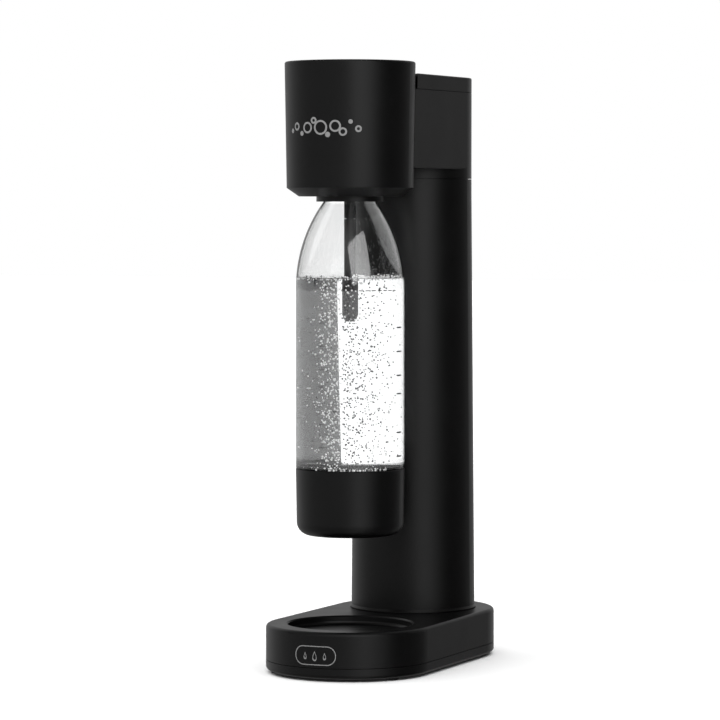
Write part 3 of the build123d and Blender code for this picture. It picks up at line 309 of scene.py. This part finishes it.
def metal(name, colour, rough, stretch=(1, 1, 1), grain=900.0, strength=0.12):
    """Bare metal; the grain lies closer along the axes where stretch has the larger number."""
    made, tree, shader = material(name)
    shader.inputs["Metallic"].default_value = 1.0
    noise = object_noise(tree, grain, 3.0)
    turn = tree.nodes.new("ShaderNodeMapping")
    turn.inputs["Scale"].default_value = stretch
    source = noise.inputs["Vector"].links[0].from_socket
    tree.links.new(source, turn.inputs["Vector"])
    tree.links.new(turn.outputs["Vector"], noise.inputs["Vector"])
    dark = tuple(c * 0.86 for c in colour)
    two_tone(tree, shader, noise.outputs["Fac"], dark, colour)
    tree.links.new(spread(tree, noise.outputs["Fac"], rough - 0.05, rough + 0.05), shader.inputs["Roughness"])
    add_bump(tree, shader, noise.outputs["Fac"], 0.00003, strength)
    return made


def clear(name, ior, rough, dark, light):
    """Clear body that bends light, with faint waviness in its roughness."""
    made, tree, shader = material(name)
    shader.inputs["Transmission Weight"].default_value = 1.0
    shader.inputs["IOR"].default_value = ior
    noise = object_noise(tree, 60.0, 2.0)
    two_tone(tree, shader, noise.outputs["Fac"], dark, light)
    tree.links.new(spread(tree, noise.outputs["Fac"], rough * 0.5, rough), shader.inputs["Roughness"])
    return made


def bubble_skin(name, colour, painted_glow=0.0):
    """Skin of a gas bubble in one flat colour: its lit or shaded look is painted into that colour, and any
    emission on it is painted light.
    """
    made, tree, shader = material(name)
    noise = object_noise(tree, 700.0, 1.0)
    dark = tuple(c * 0.85 for c in colour)
    two_tone(tree, shader, noise.outputs["Fac"], dark, colour)
    shader.inputs["Roughness"].default_value = 0.3
    shader.inputs["Emission Color"].default_value = (1, 1, 1, 1)
    shader.inputs["Emission Strength"].default_value = painted_glow
    return made


CASING_DARK, CASING_LIGHT = (0.0016, 0.0016, 0.0017), (0.0024, 0.0024, 0.0026)
BLACK = moulded("black_moulded_plastic", CASING_DARK, CASING_LIGHT, 0.36)
BLACK_CUP = moulded("black_cup_plastic", CASING_DARK, CASING_LIGHT, 0.36)
BLACK_GLOSS = moulded("black_smooth_plastic", (0.0012, 0.0012, 0.0013), (0.0018, 0.0018, 0.0019), 0.30,
                      grain=2600.0)
GREY = moulded("grey_moulded_plastic", (0.17, 0.17, 0.175), (0.21, 0.21, 0.215), 0.45)
RUBBER = moulded("black_rubber", (0.010, 0.010, 0.010), (0.015, 0.015, 0.015), 0.72, 1800.0, 0.00004, 0.4)
HOSE = moulded("nylon_hose", (0.62, 0.62, 0.58), (0.72, 0.72, 0.68), 0.38)
INK = moulded("light_grey_ink", (0.30, 0.30, 0.30), (0.34, 0.34, 0.34), 0.50, 3000.0)
DARK_INK = moulded("dark_level_ink", (0.008, 0.008, 0.008), (0.012, 0.012, 0.012), 0.50, 3000.0)
PAINT = moulded("blue_cylinder_paint", (0.02, 0.10, 0.24), (0.025, 0.12, 0.28), 0.30, 1500.0)
STEEL = metal("zinc_plated_steel", (0.60, 0.61, 0.63), 0.30)
SPRING = metal("spring_wire", (0.42, 0.43, 0.45), 0.32, (1, 1, 14))
ALUMINIUM = metal("cast_aluminium", (0.66, 0.67, 0.68), 0.48, grain=2400.0, strength=0.3)
BRASS = metal("machined_brass", (0.78, 0.56, 0.24), 0.26, (1, 1, 30))
PET = clear("clear_pet", 1.57, 0.006, (0.985, 0.992, 0.992), (1, 1, 1))
WATER = clear("sparkling_water", 1.333, 0.0, (0.925, 0.93, 0.93), (0.94, 0.945, 0.945))
# Painted light: two copies of the bubble skin, one painted lit and glowing, one painted shaded, in place of
# real light and shade on the bubbles.
PAINTED_LIT_SKIN = bubble_skin("painted_lit_bubble_skin", (0.92, 0.92, 0.92), 0.35)
PAINTED_SHADE_SKIN = bubble_skin("painted_shade_bubble_skin", (0.09, 0.09, 0.09))

SLOT_MATERIALS = {
    "black_plastic": BLACK, "black_gloss": BLACK_GLOSS, "grey_plastic": GREY, "clear_plastic": PET,
    "rubber": RUBBER, "steel": STEEL, "spring_steel": SPRING, "aluminium": ALUMINIUM,
    "cylinder_paint": PAINT, "brass": BRASS, "hose": HOSE}


def dress(obj, made):
    obj.data.materials.clear()
    obj.data.materials.append(made)


for part in frame["record"]["subparts"]:
    dress(nodes[part["node"]], SLOT_MATERIALS[part["material_slot"]])
dress(nodes["bottle_cup"], BLACK_CUP)

# ---------------------------------------------------------------- mesh helpers


def mesh_object(name, vertices, faces, made, body):
    """Smooth-shaded piece in its material and slot, riding on a body."""
    data = bpy.data.meshes.new(name)
    data.from_pydata(vertices, [], faces)
    bm = bmesh.new()
    bm.from_mesh(data)
    bmesh.ops.remove_doubles(bm, verts=bm.verts, dist=1e-7)
    bmesh.ops.recalc_face_normals(bm, faces=bm.faces)
    bm.to_mesh(data)
    bm.free()
    for face in data.polygons:
        face.use_smooth = True
    obj = bpy.data.objects.new(name, data)
    bpy.context.scene.collection.objects.link(obj)
    dress(obj, made)
    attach(obj, body)
    return obj


def sharpen(obj, degrees=32):
    """Keeps creases crisp and lets the rest shade as one curve."""
    obj.data.set_sharp_from_angle(angle=math.radians(degrees))


def lathe(name, outline, y, made, body, steps):
    """Closed solid turned from (radius, height) points; its first and last points lie on the axis."""
    inner = outline[1:-1]
    n = len(inner)
    vertices = [(0, y, outline[0][1]), (0, y, outline[-1][1])]
    for k in range(steps):
        turn = 2 * math.pi * k / steps
        vertices += [(r * math.cos(turn), y + r * math.sin(turn), z) for r, z in inner]
    faces = []
    for k in range(steps):
        a = 2 + k * n
        b = 2 + ((k + 1) % steps) * n
        faces += [(a + i, b + i, b + i + 1, a + i + 1) for i in range(n - 1)]
        faces += [(0, b, a), (1, a + n - 1, b + n - 1)]
    obj = mesh_object(name, vertices, faces, made, body)
    sharpen(obj)
    return obj


def bend(cx, cz, r, start, end, count):
    """Points of an arc in the (radius, height) plane, angles in degrees."""
    turns = [math.radians(start + (end - start) * i / count) for i in range(count + 1)]
    return [(cx + r * math.cos(t), cz + r * math.sin(t)) for t in turns]


# ---------------------------------------------------------------- bottle, water and bubbles

LATHE_STEPS = 192
PET_WALL = 0.0012
SHOULDER_START = 0.275
SHOULDER_ARC = 0.1055                   # radius of the shoulder's curve
NECK_R = 0.0184
NECK_START = 0.337
NECK_BORE = 0.0158
BOTTLE_FLOOR = 0.104
FLOOR_CORNER = 0.012
CUP_FIT_R = 0.0367                      # the bottle is narrower where it sits in its cup
WALL_RINGS = [0.165 + 0.012 * i for i in range(10)]
WATER_LEVEL = 0.2824
WATER_LAP = 0.0002                      # the water reaches this far into the bottle's wall


def bottle_side(inset):
    """Outline of the bottle from the middle of its floor up to the foot of its neck."""
    floor = BOTTLE_FLOOR + inset
    corner = FLOOR_CORNER - inset
    fit_r = CUP_FIT_R - inset
    body_r = BOTTLE_R - inset
    step = CUP_RIM + 0.00005 + inset
    top = math.degrees(math.asin((NECK_START - 0.001 - SHOULDER_START) / SHOULDER_ARC))
    points = [(0, floor + 0.007), (0.004, floor + 0.0062), (0.014, floor)]
    points += bend(fit_r - corner, floor + corner, corner, -90, 0, 10)
    points += [(fit_r, step - 0.004), (fit_r, step), (body_r - 0.0004, step + 0.0002)]
    points += [(body_r, step + 0.0006), (body_r, step + 0.006)]
    points += [(body_r, z) for z in WALL_RINGS]
    points += bend(BOTTLE_R - SHOULDER_ARC, SHOULDER_START, SHOULDER_ARC - inset, 0, top, 40)
    return points


def make_bottle():
    """Wall of the bottle as one closed solid, with its mouth open."""
    outside = bottle_side(0)
    bore = [(r, z) for r, z in bottle_side(PET_WALL) if z < NECK_START + 0.001]
    neck = [(NECK_R + 0.0003, NECK_START), (NECK_R, NECK_START + 0.0008), (NECK_R, BOTTLE_RIM - 0.0006)]
    neck += [(NECK_R - 0.0006, BOTTLE_RIM), (NECK_BORE + 0.0006, BOTTLE_RIM)]
    neck += [(NECK_BORE, BOTTLE_RIM - 0.0006), (NECK_BORE, NECK_START + 0.003)]
    outline = outside + neck + bore[::-1]
    return lathe("bottle_wall", outline, BOTTLE_Y, PET, "bottle", LATHE_STEPS)


def make_thread():
    """Helical ridge round the neck, two and a half turns, fading out at both ends."""
    turns, steps, fade_steps = 2.5, 64, 14
    low, pitch, reach, half = NECK_START + 0.0075, 0.0038, 0.0014, 0.0010
    count = int(turns * steps)
    vertices, faces = [], []
    for k in range(count + 1):
        turn = 2 * math.pi * k / steps
        fade = min(1.0, k / fade_steps, (count - k) / fade_steps)
        z = low + pitch * k / steps
        root = NECK_R - 0.0003
        tip = NECK_R + reach * fade
        for r, dz in ((root, -half), (tip, -half * 0.45), (tip, half * 0.45), (root, half)):
            vertices.append((r * math.cos(turn), BOTTLE_Y + r * math.sin(turn), z + dz))
    for k in range(count):
        a, b = 4 * k, 4 * (k + 1)
        faces += [(a + i, b + i, b + (i + 1) % 4, a + (i + 1) % 4) for i in range(4)]
    faces += [(0, 1, 2, 3), (4 * count + 3, 4 * count + 2, 4 * count + 1, 4 * count)]
    return mesh_object("bottle_thread", vertices, faces, PET, "bottle")


def make_water():
    """The water, with a slight rise where its surface meets the wall."""
    inset = PET_WALL - WATER_LAP
    side = [(r, z) for r, z in bottle_side(inset) if z < WATER_LEVEL - 0.0006]
    edge_r = side[-1][0] - 0.0002
    top = [(edge_r, WATER_LEVEL + 0.0004), (edge_r - 0.0009, WATER_LEVEL - 0.0002)]
    top += [(edge_r - 0.003, WATER_LEVEL - 0.0005), (0.02, WATER_LEVEL - 0.0006), (0, WATER_LEVEL - 0.0006)]
    return lathe("water", side + top, BOTTLE_Y, WATER, "bottle", LATHE_STEPS)


def ball_template():
    """Corners and faces of a small ball of radius 1."""
    bm = bmesh.new()
    bmesh.ops.create_icosphere(bm, subdivisions=1, radius=1.0)
    vertices = [tuple(v.co) for v in bm.verts]
    faces = [tuple(v.index for v in f.verts) for f in bm.faces]
    bm.free()
    return vertices, faces


BALL = ball_template()


def bubbles(name, places, made):
    """One mesh of many small balls; places are (x, y, z, radius)."""
    vertices, faces = [], []
    for x, y, z, r in places:
        first = len(vertices)
        squat = random.uniform(0.85, 1.1)
        vertices += [(x + a * r, y + b * r, z + c * r * squat) for a, b, c in BALL[0]]
        faces += [tuple(first + i for i in face) for face in BALL[1]]
    return mesh_object(name, vertices, faces, made, "bottle")


CAMERA_SIDE = math.atan2(CAMERA_PLACE.y - BOTTLE_Y, CAMERA_PLACE.x)     # as an angle about the bottle
BUBBLE_R = BOTTLE_R - PET_WALL - 0.0010 # largest distance of a bubble's middle from the axis
# This split decides which bubbles get the painted lit skin and which get the painted shaded skin.
LIT_SPLIT = -0.19                       # across the bottle from -1 to 1: where dark ground turns to bright


def bubble_size():
    """Radius of a bubble: most are small, one in five is larger."""
    small = random.random() < 0.8
    return random.uniform(0.00042, 0.00066) if small else random.uniform(0.00066, 0.00086)


def across(low, high, mode, z_low, z_high, count, depth):
    """Bubbles on and near the wall that faces the view, spread sideways from low to high."""
    found = []
    while len(found) < count:
        turn = CAMERA_SIDE + math.asin(random.triangular(low, high, mode))
        reach = BUBBLE_R - abs(random.gauss(0, depth))
        z = random.uniform(z_low, z_high)
        found.append((reach * math.cos(turn), BOTTLE_Y + reach * math.sin(turn), z, bubble_size()))
    return found


def anywhere(count, z_low, z_high):
    """Bubbles adrift in the whole of the water, clear of the nozzle."""
    found = []
    while len(found) < count:
        turn = random.uniform(0, 2 * math.pi)
        reach = BUBBLE_R * math.sqrt(random.random())
        z = random.uniform(z_low, z_high)
        if reach > NOZZLE_R + 0.001:
            size = 0.8 * bubble_size()
            found.append((reach * math.cos(turn), BOTTLE_Y + reach * math.sin(turn), z, size))
    return found


def foam(count, spread_up):
    """Froth at the surface, crowded against the wall."""
    found = []
    for _ in range(count):
        turn = random.uniform(0, 2 * math.pi)
        reach = BUBBLE_R * (1 - 0.9 * random.random() ** 3)
        climb = spread_up * (reach / BUBBLE_R) ** 6 * (0.6 + 0.4 * math.sin(5 * turn) * math.sin(11 * turn))
        z = WATER_LEVEL - 0.0012 + random.random() * (0.0012 + climb)
        size = random.uniform(0.00026, 0.0006)
        found.append((reach * math.cos(turn), BOTTLE_Y + reach * math.sin(turn), z, size))
    return found


WATER_LOW = CUP_RIM + 0.0012
WATER_HIGH = WATER_LEVEL - 0.0015
# Painted light: bubbles on the side with bright ground behind them get the painted lit skin, those before the
# dark ground get the painted shaded skin, and the ones adrift are shared between both.
painted_lit_places = across(-0.72, LIT_SPLIT, -0.21, WATER_LOW, WATER_HIGH, 460, 0.0025)
painted_lit_places += across(-0.93, -0.50, -0.52, WATER_LOW, WATER_HIGH, 40, 0.0025)
painted_lit_places += across(-0.12, 0.12, 0.0, NOZZLE_END, WATER_HIGH, 26, 0.0025)
painted_lit_places += across(-0.9, 0.9, -0.1, WATER_LOW - 0.0004, WATER_LOW + 0.0008, 60, 0.001)
painted_lit_places += anywhere(110, WATER_LOW, WATER_HIGH)
painted_shade_places = across(LIT_SPLIT, 0.70, -0.10, WATER_LOW, WATER_HIGH, 520, 0.0025)
painted_shade_places += across(0.3, 0.93, 0.55, WATER_LOW, WATER_HIGH, 110, 0.002)
painted_shade_places += anywhere(160, WATER_LOW, WATER_HIGH)

bottle_wall = make_bottle()
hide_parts("bottle_body")
bottle_pieces = [
    bottle_wall, make_thread(), make_water(),
    bubbles("bubbles_painted_lit", painted_lit_places, PAINTED_LIT_SKIN),
    bubbles("bubbles_painted_shade", painted_shade_places, PAINTED_SHADE_SKIN),
    # The froth is a mix of painted lit and painted shaded bubbles.
    bubbles("foam_painted_lit", foam(900, 0.0030), PAINTED_LIT_SKIN),
    bubbles("foam_painted_shade", foam(420, 0.0018), PAINTED_SHADE_SKIN)]

# ---------------------------------------------------------------- printed marks


def wrap(radius_at, y_axis, u, v, lift):
    """Point on a round casing: u metres round from the front, v metres up, lift off the surface."""
    r = radius_at(v)
    turn = u / r
    return ((r + lift) * math.sin(turn), y_axis - (r + lift) * math.cos(turn), v)


INK_SUNK = 0.00004                      # the ink starts this far under the surface
INK_THICK = 0.00006
PINHOLE = 0.02                          # share of a solid mark's size that its inner loop keeps


def printed(name, shapes, radius_at, y_axis, made, body):
    """Thin ink raised from a round casing; each shape is an (outer loop, inner loop) pair in (u, v)."""
    vertices, faces = [], []
    for outer, inner in shapes:
        n = len(outer)
        first = len(vertices)
        for lift in (-INK_SUNK, INK_THICK):
            for loop in (outer, inner):
                vertices += [wrap(radius_at, y_axis, u, v, lift) for u, v in loop]
        low_out, low_in, top_out, top_in = (first + n * k for k in range(4))
        for i in range(n):
            j = (i + 1) % n
            faces.append((top_out + i, top_out + j, top_in + j, top_in + i))
            faces.append((low_out + j, low_out + i, low_in + i, low_in + j))
            faces.append((low_out + i, low_out + j, top_out + j, top_out + i))
            faces.append((low_in + j, low_in + i, top_in + i, top_in + j))
    obj = mesh_object(name, vertices, faces, made, body)
    sharpen(obj, 40)
    return obj


def circle_loop(u, v, r, count=36):
    turns = [2 * math.pi * i / count for i in range(count)]
    return [(u + r * math.cos(turn), v + r * math.sin(turn)) for turn in turns]


def ring(u, v, r, line):
    return circle_loop(u, v, r), circle_loop(u, v, r - line)


def dot(u, v, r):
    return circle_loop(u, v, r), circle_loop(u, v, r * PINHOLE)


def dash(u, v, width, height, count=6):
    """Short bar with its inner loop shrunk to its middle line."""
    corners = [(u - width / 2 + width * i / count, v - height / 2) for i in range(count + 1)]
    corners += [(u + width / 2 - width * i / count, v + height / 2) for i in range(count + 1)]
    return corners, [(a, v + (b - v) * PINHOLE) for a, b in corners]


def pill_loop(u, v, half_width, half_height, corner, count=8, run=12):
    """Rounded rectangle as one loop, with points along its flat runs so that it can wrap round."""
    loop = []
    for cu, cv, start in ((1, 1, 0), (-1, 1, 90), (-1, -1, 180), (1, -1, 270)):
        for i in range(count + 1):
            turn = math.radians(start + 90 * i / count)
            loop.append((u + cu * (half_width - corner) + corner * math.cos(turn),
                         v + cv * (half_height - corner) + corner * math.sin(turn)))
        if start in (0, 180):
            flat = 2 * (half_width - corner)
            side = 1 if start == 0 else -1
            loop += [(u + side * (half_width - corner - flat * i / run), v + side * half_height)
                     for i in range(1, run)]
    return loop


def drop_shape(u, v, size, line, count=40):
    """Outline of a water drop, point upwards; line is the width of its rim."""
    def loop(scale):
        points = []
        for i in range(count):
            turn = 2 * math.pi * i / count
            narrow = math.sin(turn / 2) ** 1.4
            points.append((u + scale * 0.62 * math.sin(turn) * narrow, v + scale * math.cos(turn)))
        return points
    return loop(size), loop(size - line)


HEAD_BEVEL = 0.0061                     # height of the bevel under the head
HEAD_TAPER = 0.00139                    # the head is this much slimmer above the bevel than at its top
HEAD_LOW = low_z("head_shell") + HEAD_BEVEL
HEAD_TOP = high_z("head_shell")


def head_radius(z):
    share = (z - HEAD_LOW) / (HEAD_TOP - HEAD_LOW)
    return HEAD_R - HEAD_TAPER * (1 - share)


def base_radius(z):
    return BASE_R


def bottle_radius(z):
    return BOTTLE_R


HEAD_MARK_Z = 0.3885
HEAD_MARK_REACH = 0.0275                # half of the row's length
HEAD_MARK_SHIFT = 0.002                 # of the row towards the left
SOLID_UNDER = 0.0020                    # circles smaller than this are filled
RING_LINE = 0.0013


def head_marks():
    """A row of rings and dots like bubbles across the front of the head."""
    sizes = (0.0016, 0.0029, 0.0017, 0.0040, 0.0024, 0.0052, 0.0019, 0.0042, 0.0030, 0.0016, 0.0024)
    rises = (-0.002, 0.001, -0.004, 0.0, 0.005, 0.0, -0.005, 0.001, -0.003, 0.004, -0.001)
    shapes = []
    for i, (size, rise) in enumerate(zip(sizes, rises)):
        u = -HEAD_MARK_REACH + 2 * HEAD_MARK_REACH * i / (len(sizes) - 1) - HEAD_MARK_SHIFT
        v = HEAD_MARK_Z + rise
        shapes.append(dot(u, v, size) if size < SOLID_UNDER else ring(u, v, size, RING_LINE))
    return printed("head_bubble_marks", shapes, head_radius, BOTTLE_Y, INK, "housing")


def base_marks():
    """A fine oval frame with three drops in it, on the front of the base."""
    middle = (low_z("base_shell") + high_z("base_shell")) / 2 - 0.0025
    outer = pill_loop(0.0, middle, 0.0158, 0.0068, 0.0066)
    inner = pill_loop(0.0, middle, 0.0152, 0.0062, 0.0060)
    shapes = [(outer, inner)]
    for u, size in ((-0.0075, 0.0026), (0.0, 0.0036), (0.0075, 0.0026)):
        shapes.append(drop_shape(u, middle - 0.0003, size, 0.0010))
    return printed("base_drop_marks", shapes, base_radius, BOTTLE_Y, INK, "housing")


FILL_LINE_DROP = 0.0085                 # of the dashed fill line, below the water's surface
LEVEL_HEIGHTS = (0.2475, 0.2305, 0.2135, 0.2005, 0.1730, 0.1560)


def level_marks():
    """Dashed fill line and a ladder of short level dashes on the bottle's right."""
    fill_z = WATER_LEVEL - FILL_LINE_DROP
    degree = BOTTLE_R * math.pi / 180
    shapes = [dash(degree * a, fill_z, degree * 4.6, 0.0006) for a in range(36, 80, 7)]
    ladder = degree * 88
    for z in LEVEL_HEIGHTS:
        shapes.append(dash(ladder, z, 0.0068, 0.0010))
    return printed("bottle_level_marks", shapes, bottle_radius, BOTTLE_Y, DARK_INK, "bottle")


head_marks()
base_marks()
level_marks()

# ---------------------------------------------------------------- springs

BUTTON_WIRE_R, BUTTON_TURNS = 0.0008, 5.5
RELIEF_WIRE_R, RELIEF_TURNS = 0.00035, 6


def spring(name, foot, along, side, coil_r, wire_r, turns, per_turn=28, ring_points=8):
    """Helix of round wire from its foot to foot + along; side is a unit vector across it."""
    forward = along.normalized()
    across_it = forward.cross(side)
    count = int(turns * per_turn)
    vertices, faces = [], []
    for k in range(count + 1):
        turn = 2 * math.pi * k / per_turn
        out = math.cos(turn) * side + math.sin(turn) * across_it
        middle = foot + forward * wire_r + coil_r * out + (along - 2 * wire_r * forward) * (k / count)
        for i in range(ring_points):
            tilt = 2 * math.pi * i / ring_points
            vertices.append(middle + wire_r * (math.cos(tilt) * out + math.sin(tilt) * forward))
    for k in range(count):
        for i in range(ring_points):
            a, b = ring_points * k, ring_points * k + (i + 1) % ring_points
            faces.append((a + i, b, b + ring_points, a + ring_points + i))
    faces.append(tuple(range(ring_points)))
    faces.append(tuple(count * ring_points + i for i in reversed(range(ring_points))))
    return mesh_object(name, vertices, faces, SPRING, "housing")


def springs():
    """Both springs stand with one end on a fixed seat."""
    low, high = (Vector(corner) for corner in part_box("return_spring"))
    length = high.z - low.z
    foot = Vector((0, BOTTLE_Y, low.z))
    piece = spring("button_spring", foot, Vector((0, 0, length)), Vector((1, 0, 0)),
                   (high.x - low.x) / 2 - BUTTON_WIRE_R, BUTTON_WIRE_R, BUTTON_TURNS)
    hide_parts("return_spring")
    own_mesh(piece)
    low, high = (Vector(corner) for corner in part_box("relief_spring"))
    length = high.x - low.x
    foot = Vector((low.x, BOTTLE_Y, (low.z + high.z) / 2))
    piece = spring("vent_spring", foot, Vector((length, 0, 0)), Vector((0, 0, 1)),
                   (high.z - low.z) / 2 - RELIEF_WIRE_R, RELIEF_WIRE_R, RELIEF_TURNS)
    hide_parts("relief_spring")
    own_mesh(piece)


springs()

# ---------------------------------------------------------------- floor

FLOOR_HALF = 12.0


def make_floor():
    data = bpy.data.meshes.new("floor")
    corners = [(-FLOOR_HALF, -FLOOR_HALF, 0), (FLOOR_HALF, -FLOOR_HALF, 0),
               (FLOOR_HALF, FLOOR_HALF, 0), (-FLOOR_HALF, FLOOR_HALF, 0)]
    data.from_pydata(corners, [], [(0, 1, 2, 3)])
    floor = bpy.data.objects.new("floor", data)
    bpy.context.scene.collection.objects.link(floor)
    made, tree, shader = material("pale_floor")
    shader.inputs["Roughness"].default_value = 0.9
    shader.inputs["Specular IOR Level"].default_value = 0.0
    noise = object_noise(tree, 3.0)
    two_tone(tree, shader, noise.outputs["Fac"], (0.86, 0.86, 0.86), (0.87, 0.87, 0.87))
    floor.data.materials.append(made)
    floor.visible_glossy = False
    return floor


def light_only(light, *lit):
    """The lamp lights those objects alone; everything else still throws a shadow on them."""
    group = bpy.data.collections.new("lit_by_" + light.name)
    for obj in lit:
        group.objects.link(obj)
    light.light_linking.receiver_collection = group


def floor_sun():
    """Wide soft light for the floor alone, so that it stays even and white out to the horizon."""
    data = bpy.data.lights.new("floor_sun", "SUN")
    data.energy = 4.0
    data.angle = math.radians(110)
    light = bpy.data.objects.new("floor_sun", data)
    light.rotation_euler = (math.radians(6), math.radians(-5), 0)
    bpy.context.scene.collection.objects.link(light)
    return light


floor = make_floor()
light_only(floor_sun(), floor)
bottle_softbox = area_light("bottle_softbox", KEY_AZIMUTH, KEY_RISE, distance=2.30, width=1.70, tall=1.45,
                            radiance=2.1, roll=14)
light_only(bottle_softbox, *bottle_pieces)

bpy.context.scene.view_settings.view_transform = "Standard"
